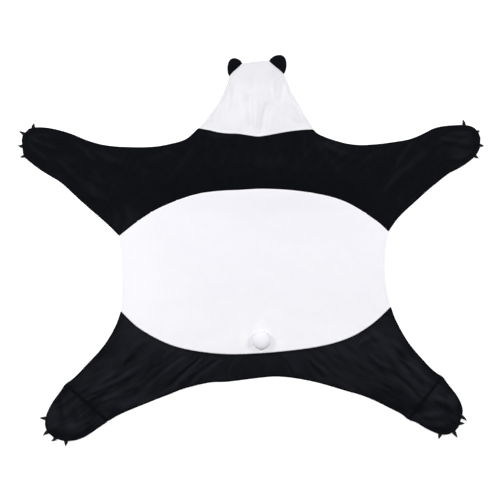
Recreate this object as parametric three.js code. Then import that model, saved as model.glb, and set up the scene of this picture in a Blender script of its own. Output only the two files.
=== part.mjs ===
// Wearable hooded blanket in the shape of an animal skin, laid out flat with its outer side up.
// Millimetres. X runs to the right forepaw, Y towards the hood, Z up, and the floor is z = 0.
// Every panel is a wall of plush cloth. Its sections are rows of a table, one end of a section on
// the edge nearer the hood and the other on the edge nearer the tail.

import * as THREE from 'three';
import { mergeVertices } from 'three/addons/utils/BufferGeometryUtils.js';

// Driving sizes
const WALL = 3;                 // thickness of the plush cloth
const SEAM_GAP = 0.3;           // clearance between two pieces that are sewn together
const LAYER = WALL + SEAM_GAP;  // height of a second layer that lies on a first
const RAMP = 62;                // length in which a panel comes down from a second layer to the floor
const BODY_BOW_LEFT = 7;        // how far the body's free edges draw in halfway
const BODY_BOW_RIGHT = 20;
const EAR_THICKNESS = 13;
const TAIL_HEIGHT = 44;
const CROWN_ARCH = 3.5;         // how far the middle of the hood's crown stands above its ends
const CLAW_THICKNESS = 7;
const CLAW_TAPER = 0.95;         // above 1 the claw's flanks are hollow, below 1 they bulge

// Steps of the panels' grids, along the blanket's width and across each panel
const STEPS = { leg: 14, hindLeg: 9, shoulder: 8, neck: 14, hips: 30, paw: 10, hood: 18 };
const ACROSS = { shoulders: 9, body: 12, hips: 9, paw: 7, pocket: 2, hoodFront: 3 };

// Sections, each from its end on the head side to its end on the tail side
const SECTION = ['headX', 'headY', 'tailX', 'tailY'];

const FORELEG_LEFT = table(SECTION, [
  [-916, 440, -911, 389],
  [-912, 459, -903, 371],
  [-901, 472, -893, 363],
  [-884, 488, -878, 350],
  [-852, 491, -852, 330],
  [-820, 490, -822, 310],
  [-776, 482, -788, 290],
  [-724, 467, -754, 268],
  [-688, 452, -720, 236],
  [-652, 438, -688, 206],
  [-612, 426, -648, 170],
  [-576, 419, -608, 136],
  [-540, 415, -568, 100],
  [-500, 413, -528, 60],
]);

const SHOULDER_LEFT = table(SECTION, [
  [-500, 413, -528, 60],
  [-444, 412, -460, 114],
  [-380, 415, -392, 159],
  [-316, 427, -324, 191],
  [-268, 441, -260, 215],
  [-240, 460, -232, 223],
  [-212, 487, -204, 230],
]);

const NECK = table(SECTION, [
  [-212, 487, -204, 230],
  [-172, 480, -164, 236],
  [-116, 468, -108, 241],
  [-44, 464, -40, 244],
  [26, 454, 24, 248],
  [92, 464, 92, 247],
  [156, 475, 156, 243],
  [212, 481, 208, 237],
  [248, 482, 244, 232],
]);

const SHOULDER_RIGHT = table(SECTION, [
  [248, 482, 244, 232],
  [268, 464, 268, 227],
  [308, 448, 308, 219],
  [356, 433, 360, 203],
  [412, 422, 412, 179],
  [468, 422, 468, 143],
  [520, 426, 512, 112],
  [564, 432, 549, 77],
]);

const FORELEG_RIGHT = table(SECTION, [
  [564, 432, 549, 77],
  [604, 438, 584, 128],
  [640, 446, 622, 166],
  [670, 458, 660, 200],
  [694, 469, 696, 234],
  [720, 483, 732, 264],
  [752, 493, 764, 290],
  [786, 498, 796, 313],
  [820, 500, 827, 328],
  [856, 500, 857, 347],
  [884, 493, 881, 366],
  [903, 476, 900, 386],
  [915, 450, 912, 409],
]);

// Rows of the forelegs' tables at which the hand pockets open
const POCKET_ROW_LEFT = 7;
const POCKET_ROW_RIGHT = 5;

const HINDLEG_LEFT = table(SECTION, [
  [-743, -534, -574, -682],
  [-712, -513, -548, -666],
  [-680, -482, -520, -652],
  [-648, -447, -488, -638],
  [-616, -414, -452, -623],
  [-586, -377, -412, -607],
  [-560, -337, -372, -591],
  [-538, -294, -332, -575],
  [-521, -245, -292, -559],
]);

const HIPS_BACK = table(SECTION, [
  [-521, -245, -292, -559],
  [-460, -304, -256, -547],
  [-380, -353, -208, -535],
  [-300, -386, -156, -526],
  [-204, -406, -100, -524],
  [-92, -416, -40, -517],
  [20, -413, 24, -509],
  [132, -404, 88, -503],
  [244, -390, 148, -506],
  [332, -371, 208, -515],
  [412, -341, 264, -527],
  [492, -289, 312, -540],
  [558, -227, 352, -552],
]);

const HINDLEG_RIGHT = table(SECTION, [
  [558, -227, 352, -552],
  [574, -272, 392, -564],
  [594, -312, 432, -575],
  [616, -350, 468, -588],
  [642, -388, 502, -603],
  [673, -423, 534, -619],
  [706, -460, 568, -636],
  [738, -489, 601, -653],
  [763, -503, 629, -676],
]);

const HIND_PAW_LEFT = table(SECTION, [
  [-743, -534, -574, -682],
  [-760, -561, -600, -700],
  [-777, -584, -626, -718],
  [-794, -608, -654, -737],
  [-807, -632, -682, -751],
  [-817, -655, -708, -758],
  [-822, -677, -730, -760],
  [-823, -697, -750, -759],
  [-818, -714, -770, -754],
  [-810, -729, -789, -746],
]);

const HIND_PAW_RIGHT = table(SECTION, [
  [763, -503, 629, -676],
  [786, -535, 656, -684],
  [806, -560, 680, -699],
  [821, -580, 704, -713],
  [833, -602, 728, -724],
  [842, -626, 750, -732],
  [844, -649, 770, -735],
  [837, -672, 789, -733],
  [832, -692, 806, -724],
  [828, -704, 816, -718],
]);

// Levels of the hood's back, from the neck seam to the crown
const HOOD_LEVEL = ['leftX', 'leftY', 'rightX', 'rightY'];

const HOOD_BACK = table(HOOD_LEVEL, [
  [-212, 487, 248, 482],
  [-187, 513, 231, 513],
  [-160, 547, 210, 544],
  [-132, 586, 191, 582],
  [-107, 632, 160, 630],
  [-94, 668, 145, 668],
  [-86, 694, 128, 703],
  [-72, 712, 112, 720],
  [-54, 728, 91, 737],
  [-35, 746, 70, 756],
]);

// Edge of the face opening, from the left end of the neck seam over the brow to the right end
const FACE_OPENING = table(['x', 'y'], [
  [-108, 470],
  [-100, 504],
  [-88, 544],
  [-72, 584],
  [-48, 622],
  [-24, 644],
  [0, 654],
  [26, 656],
  [52, 654],
  [76, 644],
  [98, 622],
  [120, 584],
  [132, 544],
  [144, 504],
  [152, 474],
]);

// Creases and ridges pressed into the cloth: ends, height of the middle and width of a flank
const FOLD = ['fromX', 'fromY', 'toX', 'toY', 'height', 'width'];

const FOLDS = table(FOLD, [
  // left foreleg and paw
  [-868, 452, -764, 406, 5, 15],
  [-872, 396, -808, 360, 3.5, 16],
  [-764, 360, -564, 200, 3.5, 24],
  // right foreleg and paw
  [756, 442, 880, 428, 4.5, 17],
  [776, 372, 862, 382, 3.5, 16],
  [536, 240, 700, 392, 3.5, 24],
  // shoulders, drawn from the neck seam
  [-208, 430, -324, 262, 4, 20],
  [252, 428, 376, 262, 3.5, 20],
  [-44, 450, -56, 336, 3, 18],
  [98, 450, 120, 316, 3, 18],
  // body, pulled in beside the tail
  [-30, -290, -52, -392, 2.4, 18],
  [112, -290, 136, -390, 2.4, 18],
  [34, -250, 37, -298, 2.6, 15],
  // hips and hind legs
  [-180, -428, -334, -584, 5.5, 15],
  [-116, -436, -258, -548, 4, 18],
  [-246, -424, -410, -560, 3.5, 18],
  [-664, -602, -484, -496, 4.5, 17],
  [-630, -624, -404, -474, 3.5, 20],
  [472, -424, 568, -486, 3.5, 17],
  [236, -428, 318, -492, 3, 20],
  [590, -430, 724, -548, 4, 20],
  // hind paws
  [-752, -578, -716, -712, 4.5, 15],
  [-640, -668, -738, -716, 4, 14],
  [668, -654, 784, -642, 5, 14],
  [700, -584, 800, -608, 3.5, 15],
  // hood: a pair of troughs that rise from the neck seam, and soft ridges beside them
  [-2, 480, -18, 612, -5, 12],
  [27, 460, 62, 570, -5, 12],
  [16, 500, 10, 640, 3.2, 14],
  [-104, 606, -154, 522, 3.5, 14],
  [-62, 560, -58, 664, 2.8, 14],
  [84, 590, 78, 686, 2.8, 14],
  [150, 612, 196, 520, 3.5, 14],
]);

// Places where the cloth stands up softly over a round patch
const PUFFS = table(['x', 'y', 'radiusX', 'radiusY', 'height'], [
  [22, 600, 150, 132, 7],
  [-846, 412, 62, 66, 2.5],
  [846, 420, 62, 66, 2.5],
  [-734, -664, 66, 70, 2.5],
  [752, -628, 66, 70, 2.5],
]);

// Claws: tip, and the point where the claw leaves the edge of its paw
const CLAW = ['tipX', 'tipY', 'rootX', 'rootY', 'width'];

const CLAWS = {
  claw_fore_left: table(CLAW, [
    [-868, 507, -871, 490, 16],
    [-926, 475, -905, 463, 14],
    [-930, 420, -911, 417, 15],
    [-922, 374, -906, 378, 12],
  ]),
  claw_fore_right: table(CLAW, [
    [846, 522, 850, 498, 14],
    [912, 477, 901, 472, 12],
    [929, 418, 917, 420, 13],
    [907, 370, 893, 379, 13],
  ]),
  claw_hind_left: table(CLAW, [
    [-843, -669, -819, -672, 15],
    [-830, -738, -811, -723, 16],
    [-798, -760, -782, -748, 16],
    [-742, -780, -740, -760, 17],
  ]),
  claw_hind_right: table(CLAW, [
    [859, -680, 839, -664, 15],
    [851, -690, 832, -690, 14],
    [823, -746, 810, -726, 17],
    [750, -751, 755, -735, 17],
  ]),
};

// Ears: the level of the hood's edge at which an ear starts, how far it stands out, and its lean in
// degrees from the square to that edge
const EARS = { firstLevel: 12, bulge: 1.8, steps: 12 };
const EAR_LEFT = { reach: 47, lean: -17 };
const EAR_RIGHT = { reach: 54, lean: 9 };
const TAIL = { x: 40, y: -362, halfWidth: 39, halfLength: 39, taper: 0.12, steps: 22 };

const COLOURS = {
  white: new THREE.MeshStandardMaterial({ color: 0xf1f0f4, roughness: 0.95, metalness: 0 }),
  black: new THREE.MeshStandardMaterial({ color: 0x101216, roughness: 0.95, metalness: 0 }),
  claw: new THREE.MeshStandardMaterial({ color: 0x24252a, roughness: 0.6, metalness: 0 }),
};

const blanket = new THREE.Group();

// Tables

function table(columns, rows) {
  return rows.map((row) => Object.fromEntries(columns.map((name, i) => [name, row[i]])));
}

function smooth(t) {
  const s = THREE.MathUtils.clamp(t, 0, 1);
  return s * s * (3 - 2 * s);
}

// Heights of the lower face of the top layer

// A straight line across the blanket beyond which an under layer lies
function underLayerBeyond(head, tail, outX, outY, reach) {
  const across = new THREE.Vector2(tail.x - head.x, tail.y - head.y).normalize();
  const out = new THREE.Vector2(-across.y, across.x);
  if (out.x * outX + out.y * outY < 0) out.negate();
  const middle = new THREE.Vector2((head.x + tail.x) / 2, (head.y + tail.y) / 2);
  return { middle, across, out, reach };
}

function sectionEnds(row) {
  return [new THREE.Vector2(row.headX, row.headY), new THREE.Vector2(row.tailX, row.tailY)];
}

const MARGIN = 8;
const UNDER_LAYERS = [
  underLayerBeyond(...sectionEnds(FORELEG_LEFT[POCKET_ROW_LEFT]), -1, 0, 150),
  underLayerBeyond(...sectionEnds(FORELEG_RIGHT[POCKET_ROW_RIGHT]), 1, 0, 150),
  underLayerBeyond(...sectionEnds(HINDLEG_LEFT[0]), -1, -1, 160),
  underLayerBeyond(...sectionEnds(HINDLEG_RIGHT[HINDLEG_RIGHT.length - 1]), 1, -1, 160),
  underLayerBeyond(new THREE.Vector2(-200, 450), new THREE.Vector2(240, 450), 0, 1, 240),
];

function layerLift(x, y) {
  let lift = 0;
  for (const { middle, across, out, reach } of UNDER_LAYERS) {
    const dx = x - middle.x;
    const dy = y - middle.y;
    const beyond = smooth((dx * out.x + dy * out.y + MARGIN + RAMP) / RAMP);
    const beside = smooth((reach + RAMP - Math.abs(dx * across.x + dy * across.y)) / RAMP);
    lift = Math.max(lift, LAYER * beyond * beside);
  }
  return lift;
}

function foldHeight(x, y) {
  let height = 0;
  for (const fold of FOLDS) {
    const runX = fold.toX - fold.fromX;
    const runY = fold.toY - fold.fromY;
    const length = Math.hypot(runX, runY);
    const along = ((x - fold.fromX) * runX + (y - fold.fromY) * runY) / length;
    const aside = ((x - fold.fromX) * runY - (y - fold.fromY) * runX) / length;
    const ends = smooth((along + fold.width) / (2 * fold.width))
      * smooth((length + fold.width - along) / (2 * fold.width));
    height += fold.height * ends * Math.exp(-((aside / fold.width) ** 2));
  }
  for (const puff of PUFFS) {
    const away = Math.hypot((x - puff.x) / puff.radiusX, (y - puff.y) / puff.radiusY);
    height += puff.height * smooth(1.5 - away);
  }
  return height;
}

// A rise below this height is pressed flat
const PRESSED = 0.25;

function topLayer(x, y) {
  return layerLift(x, y) + Math.max(0, foldHeight(x, y) - PRESSED);
}

function bottomLayer() {
  return 0;
}

// Edge lines

// Spline through one end of every section of a stretch
function edgeLine(rows, xName, yName, steps) {
  const curve = new THREE.SplineCurve(rows.map((row) => new THREE.Vector2(row[xName], row[yName])));
  return Array.from({ length: steps + 1 }, (_, i) => curve.getPoint(i / steps));
}

function headLine(rows, steps) {
  return edgeLine(rows, 'headX', 'headY', steps);
}

function tailLine(rows, steps) {
  return edgeLine(rows, 'tailX', 'tailY', steps);
}

// Stretches end to end, each starting where the last one ended
function joined(...lines) {
  return lines.flatMap((line, i) => (i === 0 ? line : line.slice(1)));
}

// The same line moved aside by a distance, to the left of its own direction
function movedAside(line, distance) {
  return line.map((point, i) => {
    const before = line[Math.max(i - 1, 0)];
    const after = line[Math.min(i + 1, line.length - 1)];
    const run = new THREE.Vector2().subVectors(after, before).normalize();
    return new THREE.Vector2(point.x - run.y * distance, point.y + run.x * distance);
  });
}

// Grids and walls

// Points between two edge lines: one row for each station, from the head line to the tail line
function ruledGrid(head, tail, across) {
  return head.map((point, i) => Array.from({ length: across + 1 },
    (_, j) => new THREE.Vector2().lerpVectors(point, tail[i], j / across)));
}

// Closed wall of cloth on a grid of plan points, its lower face at the given height
function clothWall(grid, heightAt) {
  const rows = grid.length;
  const columns = grid[0].length;
  const count = rows * columns;
  const positions = [];
  for (const rise of [0, WALL]) {
    for (const row of grid) {
      for (const point of row) positions.push(point.x, point.y, heightAt(point.x, point.y) + rise);
    }
  }
  const index = [];
  const quad = (a, b, c, d) => index.push(a, b, c, a, c, d);
  const at = (i, j, upper) => i * columns + j + (upper ? count : 0);
  for (let i = 0; i < rows - 1; i++) {
    for (let j = 0; j < columns - 1; j++) {
      quad(at(i, j, true), at(i, j + 1, true), at(i + 1, j + 1, true), at(i + 1, j, true));
      quad(at(i, j), at(i + 1, j), at(i + 1, j + 1), at(i, j + 1));
    }
    const last = columns - 1;
    quad(at(i, 0), at(i, 0, true), at(i + 1, 0, true), at(i + 1, 0));
    quad(at(i, last), at(i + 1, last), at(i + 1, last, true), at(i, last, true));
  }
  for (let j = 0; j < columns - 1; j++) {
    const last = rows - 1;
    quad(at(0, j), at(0, j + 1), at(0, j + 1, true), at(0, j, true));
    quad(at(last, j), at(last, j, true), at(last, j + 1, true), at(last, j + 1));
  }
  return closedGeometry(positions, index);
}

// Stacked rings of the same number of points, closed by a centre point at each end
function ringedBody(rings, firstCentre, lastCentre) {
  const sides = rings[0].length;
  const positions = [...rings.flat(), firstCentre, lastCentre].flatMap((p) => [p.x, p.y, p.z]);
  const first = rings.length * sides;
  const index = [];
  for (let k = 0; k < sides; k++) {
    const next = (k + 1) % sides;
    index.push(first, next, k);
    for (let r = 0; r < rings.length - 1; r++) {
      const low = r * sides;
      const high = low + sides;
      index.push(low + k, low + next, high + next, low + k, high + next, high + k);
    }
    const top = (rings.length - 1) * sides;
    index.push(first + 1, top + k, top + next);
  }
  return closedGeometry(positions, index);
}

// Geometry with shared vertices and its faces pointing outwards
function closedGeometry(positions, index) {
  const geometry = new THREE.BufferGeometry();
  geometry.setAttribute('position', new THREE.Float32BufferAttribute(positions, 3));
  geometry.setIndex(signedVolume(positions, index) < 0 ? index.reverse() : index);
  const merged = mergeVertices(geometry, 1e-4);
  merged.computeVertexNormals();
  return merged;
}

function signedVolume(positions, index) {
  const corner = (i) => new THREE.Vector3().fromArray(positions, index[i] * 3);
  let volume = 0;
  for (let i = 0; i < index.length; i += 3) {
    volume += corner(i).dot(corner(i + 1).cross(corner(i + 2))) / 6;
  }
  return volume;
}

// Filled piece: a closed outline sewn at one height, crowned above and flat below
function filledPiece(outline, seamZ, bottomZ, topZ) {
  const centre = new THREE.Vector2();
  outline.forEach((point) => centre.addScaledVector(point, 1 / outline.length));
  const ringAt = (share, z) => outline.map((point) => {
    const moved = new THREE.Vector2().lerpVectors(centre, point, share);
    return new THREE.Vector3(moved.x, moved.y, z);
  });
  const crown = (share) => seamZ + (topZ - seamZ) * Math.sqrt(1 - share * share);
  const shares = [0.97, 0.88, 0.72, 0.48, 0.24];
  const rings = [
    ringAt(0.84, bottomZ),
    ringAt(0.95, bottomZ + 0.35 * (seamZ - bottomZ)),
    ringAt(1, seamZ),
    ...shares.map((share) => ringAt(share, crown(share))),
  ];
  return ringedBody(rings, new THREE.Vector3(centre.x, centre.y, bottomZ),
    new THREE.Vector3(centre.x, centre.y, topZ));
}

// Panels

function addPiece(name, geometry, material) {
  const mesh = new THREE.Mesh(geometry, material.clone());
  mesh.name = name;
  blanket.add(mesh);
}

// Edge lines of the shoulders, hips and hind paws
const shoulderStretches = [
  [FORELEG_LEFT, STEPS.leg],
  [SHOULDER_LEFT, STEPS.shoulder],
  [NECK, STEPS.neck],
  [SHOULDER_RIGHT, STEPS.shoulder],
  [FORELEG_RIGHT, STEPS.leg],
];
const shouldersHead = joined(...shoulderStretches.map(([rows, steps]) => headLine(rows, steps)));
const shouldersTail = joined(...shoulderStretches.map(([rows, steps]) => tailLine(rows, steps)));

const hipsStretches = [
  [HINDLEG_LEFT, STEPS.hindLeg],
  [HIPS_BACK, STEPS.hips],
  [HINDLEG_RIGHT, STEPS.hindLeg],
];
const hipsHead = joined(...hipsStretches.map(([rows, steps]) => headLine(rows, steps)));
const hipsTail = joined(...hipsStretches.map(([rows, steps]) => tailLine(rows, steps)));

function addShoulders() {
  addPiece('shoulders', clothWall(ruledGrid(shouldersHead, shouldersTail, ACROSS.shoulders), topLayer),
    COLOURS.black);
}

function addHips() {
  addPiece('hips', clothWall(ruledGrid(hipsHead, hipsTail, ACROSS.hips), topLayer), COLOURS.black);
}

// Oval panel between the shoulders' lower seam and the hips' upper seam
function addBody() {
  const seamSteps = 2 * STEPS.shoulder + STEPS.neck;
  const head = movedAside(shouldersTail.slice(STEPS.leg, STEPS.leg + seamSteps + 1), -SEAM_GAP);
  const tail = movedAside(hipsHead.slice(STEPS.hindLeg, STEPS.hindLeg + seamSteps + 1), SEAM_GAP);
  const grid = ruledGrid(head, tail, ACROSS.body);
  grid.forEach((row, i) => row.forEach((point, j) => {
    const share = i / seamSteps;
    const middle = 4 * (j / ACROSS.body) * (1 - j / ACROSS.body);
    point.x += middle * (BODY_BOW_LEFT * (1 - share) ** 4 - BODY_BOW_RIGHT * share ** 4);
  }));
  addPiece('body', clothWall(grid, topLayer), COLOURS.white);
}

// Under layer of a paw's pocket: it shares the edge lines of the layer above it
function pocketWall(head, tail) {
  return clothWall(ruledGrid(head, tail, ACROSS.pocket), bottomLayer);
}

function addForePockets() {
  const stationsLeft = Math.round((POCKET_ROW_LEFT / (FORELEG_LEFT.length - 1)) * STEPS.leg);
  const stationsRight = Math.round((POCKET_ROW_RIGHT / (FORELEG_RIGHT.length - 1)) * STEPS.leg);
  const rightStart = shouldersHead.length - 1 - STEPS.leg + stationsRight;
  addPiece('fore_pocket_left', pocketWall(shouldersHead.slice(0, stationsLeft + 1),
    shouldersTail.slice(0, stationsLeft + 1)), COLOURS.black);
  addPiece('fore_pocket_right', pocketWall(shouldersHead.slice(rightStart),
    shouldersTail.slice(rightStart)), COLOURS.black);
}

// Paw top and its under layer, both starting a seam's gap away from the leg
function hindPawLines(rows, outX, outY) {
  const head = headLine(rows, STEPS.paw);
  const tail = tailLine(rows, STEPS.paw);
  for (const start of [head[0], tail[0]]) {
    start.x += outX * SEAM_GAP;
    start.y += outY * SEAM_GAP;
  }
  return [head, tail];
}

function addHindPaws() {
  for (const [side, rows, outX] of [['left', HIND_PAW_LEFT, -0.7], ['right', HIND_PAW_RIGHT, 0.7]]) {
    const [head, tail] = hindPawLines(rows, outX, -0.7);
    addPiece(`hind_paw_${side}`, clothWall(ruledGrid(head, tail, ACROSS.paw), topLayer), COLOURS.black);
    addPiece(`hind_pocket_${side}`, pocketWall(head, tail), COLOURS.black);
  }
}

// Hood

// Levels of the hood's back; the lowest one follows the neck seam, and the curve fades upwards
function hoodGrid() {
  const neckStart = STEPS.leg + STEPS.shoulder;
  const neck = movedAside(shouldersHead.slice(neckStart, neckStart + STEPS.neck + 1), SEAM_GAP);
  const left = edgeLine(HOOD_BACK, 'leftX', 'leftY', STEPS.hood);
  const right = edgeLine(HOOD_BACK, 'rightX', 'rightY', STEPS.hood);
  return left.map((start, i) => neck.map((neckPoint, j) => {
    const share = j / STEPS.neck;
    const straight = new THREE.Vector2().lerpVectors(neck[0], neck[STEPS.neck], share);
    const bend = neckPoint.clone().sub(straight).multiplyScalar((1 - i / STEPS.hood) ** 2);
    const level = i === 0 ? straight : new THREE.Vector2().lerpVectors(start, right[i], share);
    level.y += CROWN_ARCH * 4 * share * (1 - share) * (i / STEPS.hood) ** 3;
    return level.add(bend);
  }));
}

const hood = hoodGrid();
const hoodEdge = [
  ...hood.map((row) => row[0]),
  ...hood[STEPS.hood].slice(1, -1),
  ...hood.map((row) => row[STEPS.neck]).reverse(),
];

function addHood() {
  addPiece('hood_back', clothWall(hood, topLayer), COLOURS.white);
  const opening = edgeLine(FACE_OPENING, 'x', 'y', hoodEdge.length - 1);
  addPiece('hood_front', clothWall(ruledGrid(hoodEdge, opening, ACROSS.hoodFront), bottomLayer),
    COLOURS.white);
}

// Ear caught along the hood's edge between two levels, its outline a rounded arch
function earOutline(base, { reach, lean }) {
  const start = base[0];
  const end = base[base.length - 1];
  const middle = new THREE.Vector2().addVectors(start, end).multiplyScalar(0.5);
  const half = new THREE.Vector2().subVectors(end, start).multiplyScalar(0.5);
  const out = new THREE.Vector2(-half.y, half.x).normalize().multiplyScalar(reach)
    .rotateAround(new THREE.Vector2(), THREE.MathUtils.degToRad(lean));
  const arch = [];
  for (let k = 1; k < EARS.steps; k++) {
    const angle = (Math.PI * k) / EARS.steps;
    const along = Math.sign(Math.cos(angle)) * Math.abs(Math.cos(angle)) ** (2 / EARS.bulge);
    const rise = Math.sin(angle) ** (2 / EARS.bulge);
    arch.push(middle.clone().addScaledVector(half, along).addScaledVector(out, rise));
  }
  return [...base, ...arch];
}

function addEars() {
  const left = hood.slice(EARS.firstLevel).map((row) => row[0]);
  const right = hood.slice(EARS.firstLevel).map((row) => row[STEPS.neck]).reverse();
  for (const [side, base, shape] of [['left', left, EAR_LEFT], ['right', right, EAR_RIGHT]]) {
    const outline = earOutline(movedAside(base, SEAM_GAP), shape);
    addPiece(`ear_${side}`, filledPiece(outline, WALL, 0, EAR_THICKNESS), COLOURS.black);
  }
}

function addTail() {
  const outline = Array.from({ length: TAIL.steps }, (_, k) => {
    const angle = (2 * Math.PI * k) / TAIL.steps;
    const towardsSeam = Math.max(0, -Math.sin(angle));
    const width = TAIL.halfWidth * (1 - TAIL.taper * towardsSeam ** 2);
    return new THREE.Vector2(TAIL.x + width * Math.cos(angle), TAIL.y + TAIL.halfLength * Math.sin(angle));
  });
  addPiece('tail', filledPiece(outline, LAYER + 13, LAYER + 0.1, TAIL_HEIGHT), COLOURS.white);
}

// Claws

// Nearest point of a paw's edge to a claw's root, with the edge's direction there
function seatOnEdge(edge, root) {
  let best = null;
  for (let i = 0; i < edge.length - 1; i++) {
    const run = new THREE.Vector2().subVectors(edge[i + 1], edge[i]);
    const share = new THREE.Vector2().subVectors(root, edge[i]).dot(run) / run.lengthSq();
    const point = edge[i].clone().addScaledVector(run, THREE.MathUtils.clamp(share, 0, 1));
    const distance = point.distanceTo(root);
    if (!best || distance < best.distance) best = { point, distance, run: run.normalize() };
  }
  return best;
}

// Horn with an oval section that starts square to the edge and bends to its tip
function clawGeometry(claw, edge) {
  const tip = new THREE.Vector2(claw.tipX, claw.tipY);
  const seat = seatOnEdge(edge, new THREE.Vector2(claw.rootX, claw.rootY));
  const out = new THREE.Vector2(-seat.run.y, seat.run.x);
  if (out.dot(new THREE.Vector2().subVectors(tip, seat.point)) < 0) out.negate();
  const start = seat.point.clone().addScaledVector(out, SEAM_GAP + 0.2);
  const knee = start.clone().addScaledVector(out, 0.55 * start.distanceTo(tip));
  const path = new THREE.QuadraticBezierCurve(start, knee, tip);
  const sides = 8;
  const middleZ = LAYER;
  const shares = [0, 0.3, 0.62, 0.9];
  const rings = shares.map((share) => {
    const centre = path.getPoint(share);
    const run = share === 0 ? out : path.getTangent(share);
    const taper = (1 - share) ** CLAW_TAPER;
    return Array.from({ length: sides }, (_, k) => {
      const angle = (2 * Math.PI * k) / sides;
      const aside = (claw.width / 2) * taper * Math.cos(angle);
      const rise = (CLAW_THICKNESS / 2) * taper * Math.sin(angle);
      return new THREE.Vector3(centre.x - run.y * aside, centre.y + run.x * aside, middleZ + rise);
    });
  });
  return ringedBody(rings, new THREE.Vector3(start.x, start.y, middleZ),
    new THREE.Vector3(tip.x, tip.y, middleZ));
}

function addClaws() {
  const pawEdges = {
    claw_fore_left: [
      ...shouldersHead.slice(0, STEPS.leg).reverse(),
      ...shouldersTail.slice(0, STEPS.leg),
    ],
    claw_fore_right: [
      ...shouldersHead.slice(-STEPS.leg),
      ...shouldersTail.slice(-STEPS.leg).reverse(),
    ],
    claw_hind_left: pawEdge(HIND_PAW_LEFT),
    claw_hind_right: pawEdge(HIND_PAW_RIGHT),
  };
  for (const [name, claws] of Object.entries(CLAWS)) {
    claws.forEach((claw, i) => {
      addPiece(`${name}_${i + 1}`, clawGeometry(claw, pawEdges[name]), COLOURS.claw);
    });
  }
}

function pawEdge(rows) {
  return [...headLine(rows, STEPS.paw), ...tailLine(rows, STEPS.paw).reverse()];
}

addShoulders();
addBody();
addHips();
addHindPaws();
addForePockets();
addHood();
addEars();
addTail();
addClaws();

export default blanket;
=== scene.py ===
import math
from collections import namedtuple

import bmesh
import bpy
import numpy as np
from bpy.props import FloatProperty, FloatVectorProperty, PointerProperty
from mathutils import Matrix, Vector, kdtree, noise
from mathutils.bvhtree import BVHTree


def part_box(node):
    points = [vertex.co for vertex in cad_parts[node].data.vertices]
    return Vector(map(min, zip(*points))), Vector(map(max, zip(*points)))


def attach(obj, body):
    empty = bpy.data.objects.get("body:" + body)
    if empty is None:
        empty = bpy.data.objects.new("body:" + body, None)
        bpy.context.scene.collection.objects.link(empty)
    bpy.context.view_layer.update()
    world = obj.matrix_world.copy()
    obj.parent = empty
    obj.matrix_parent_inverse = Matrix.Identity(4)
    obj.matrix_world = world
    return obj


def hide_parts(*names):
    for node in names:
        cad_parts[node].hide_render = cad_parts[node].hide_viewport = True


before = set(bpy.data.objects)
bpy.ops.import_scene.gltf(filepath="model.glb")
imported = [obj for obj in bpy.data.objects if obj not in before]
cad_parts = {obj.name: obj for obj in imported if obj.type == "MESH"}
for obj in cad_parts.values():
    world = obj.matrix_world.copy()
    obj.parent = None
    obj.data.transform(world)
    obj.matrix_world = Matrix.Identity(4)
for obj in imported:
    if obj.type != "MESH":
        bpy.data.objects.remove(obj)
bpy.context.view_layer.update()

bl_info = {
    "name": "Hooded blanket",
    "version": (1, 0, 0),
    "blender": (4, 5, 0),
    "location": "3D View > Sidebar > Blanket",
    "description": "Dresses the packed solids of a wearable hooded blanket in plush cloth",
    "category": "Add Mesh",
}

# The blanket lies flat, outer side up. Metres: X to the right forepaw, Y to the hood, Z up.
# The tables below are in millimetres, as on a maker's pattern.
MM = 0.001
BODY = "root"

# How the CAD walls are read, and how a sheet's grid follows them
UPWARD = 0.5            # the normal of a face of a wall's upper side rises above this
MERGE = 2e-5            # corners of loose triangles closer than this are one
CORNER_EDGES = 3        # a corner of a wall's grid has at most this many edges
SHARP_TURN = math.radians(28)  # an outline that turns by more has a sharp point there
ABOVE = 0.02            # height from which the nearest point of an upper side is sought
RIM_EASE = 1.6          # above 1 the grid is closer near a sheet's rim
RIM_EXTRA = 4           # more places in the first and last step of a side
SEAM_REACH = 4 * MM     # an outline nearer than this to another sheet's is sewn to it
FAR = 1.0               # distance of a plan point to an edge that isn't there

# How the cloth lies near its edges and seams
REACH_FADE = 6 * MM     # width in which the pile's reach over the rim comes in
RIM_WALL = 0.3          # share of a sheet's thickness that is left at its rim
LEAST_WALL = 0.55       # least share of it that a layer underneath leaves
LAYER_GAP = 0.2 * MM    # gap between two layers of plush
CALM = 30 * MM          # ripples are weaker nearer to the rim than this
GATHERS = 9 * MM        # middle and width of the gathers along a seam
PUFF_MIDDLE = 15 * MM   # distance of the puff from an ankle seam
PUFF_WIDTH = 10 * MM
PAW_START = 0.80        # the hand pockets' rim seam shows beyond this X
PAW_FADE = 50 * MM      # and comes in over this much of it
PAW_SEAM = 17 * MM      # distance of that seam from the edge
PAW_SEAM_WIDTH = 2.2 * MM

# How the pile is painted lighter and darker in streaks, and the painted highlight and shade of
# creases
STREAK_ANGLE = math.radians(36)
STREAK_TURN = 0.05      # product of X and Y, in square metres, by which the streaks have turned
STREAK_START = 0.34     # beyond this X the streaks are at their full strength
STREAK_LENGTH = 0.07
STREAK_WIDTH = 0.016
SHOULDER_STREAKS = 0.6  # share of the streaks that the shoulders have
STREAK_LEAST = 0.3      # share of their strength that they have at the middle
CREASE_SHADE = 0.15     # how much painted highlight and shade one millimetre of a crease's height lays on its pile
BLACK_SHADE = 0.75      # share of that on the black cloth
SEAM_SHADE = 0.45       # how much painted shade darkens black pile along a seam or an edge
SEAM_LIGHT = 0.8        # how much painted light brightens white pile along a seam
EDGE_SHADE = 0.6        # how much painted shade darkens the free edge of the hood, where it rounds away

# Filled pieces, claws, stitches and stage
PUFF_FRAMES = 20        # steps in which a filling pushes its plush out
CLAW_SIDES = 8          # corners of the CAD claw's rings
SENSOR = 36.0           # width of the camera's sensor in millimetres
DROP = 0.2              # height from which a stitch is dropped on its sheet
FLOOR_HALF = 40.0
FLOOR_GAP = 0.0005      # the floor lies this far below the cloth

# Creases of the cloth as it lies: ends, sideways bow of the middle, height and width of a flank
Crease = namedtuple("Crease", "from_x from_y to_x to_y bow height width")

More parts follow.
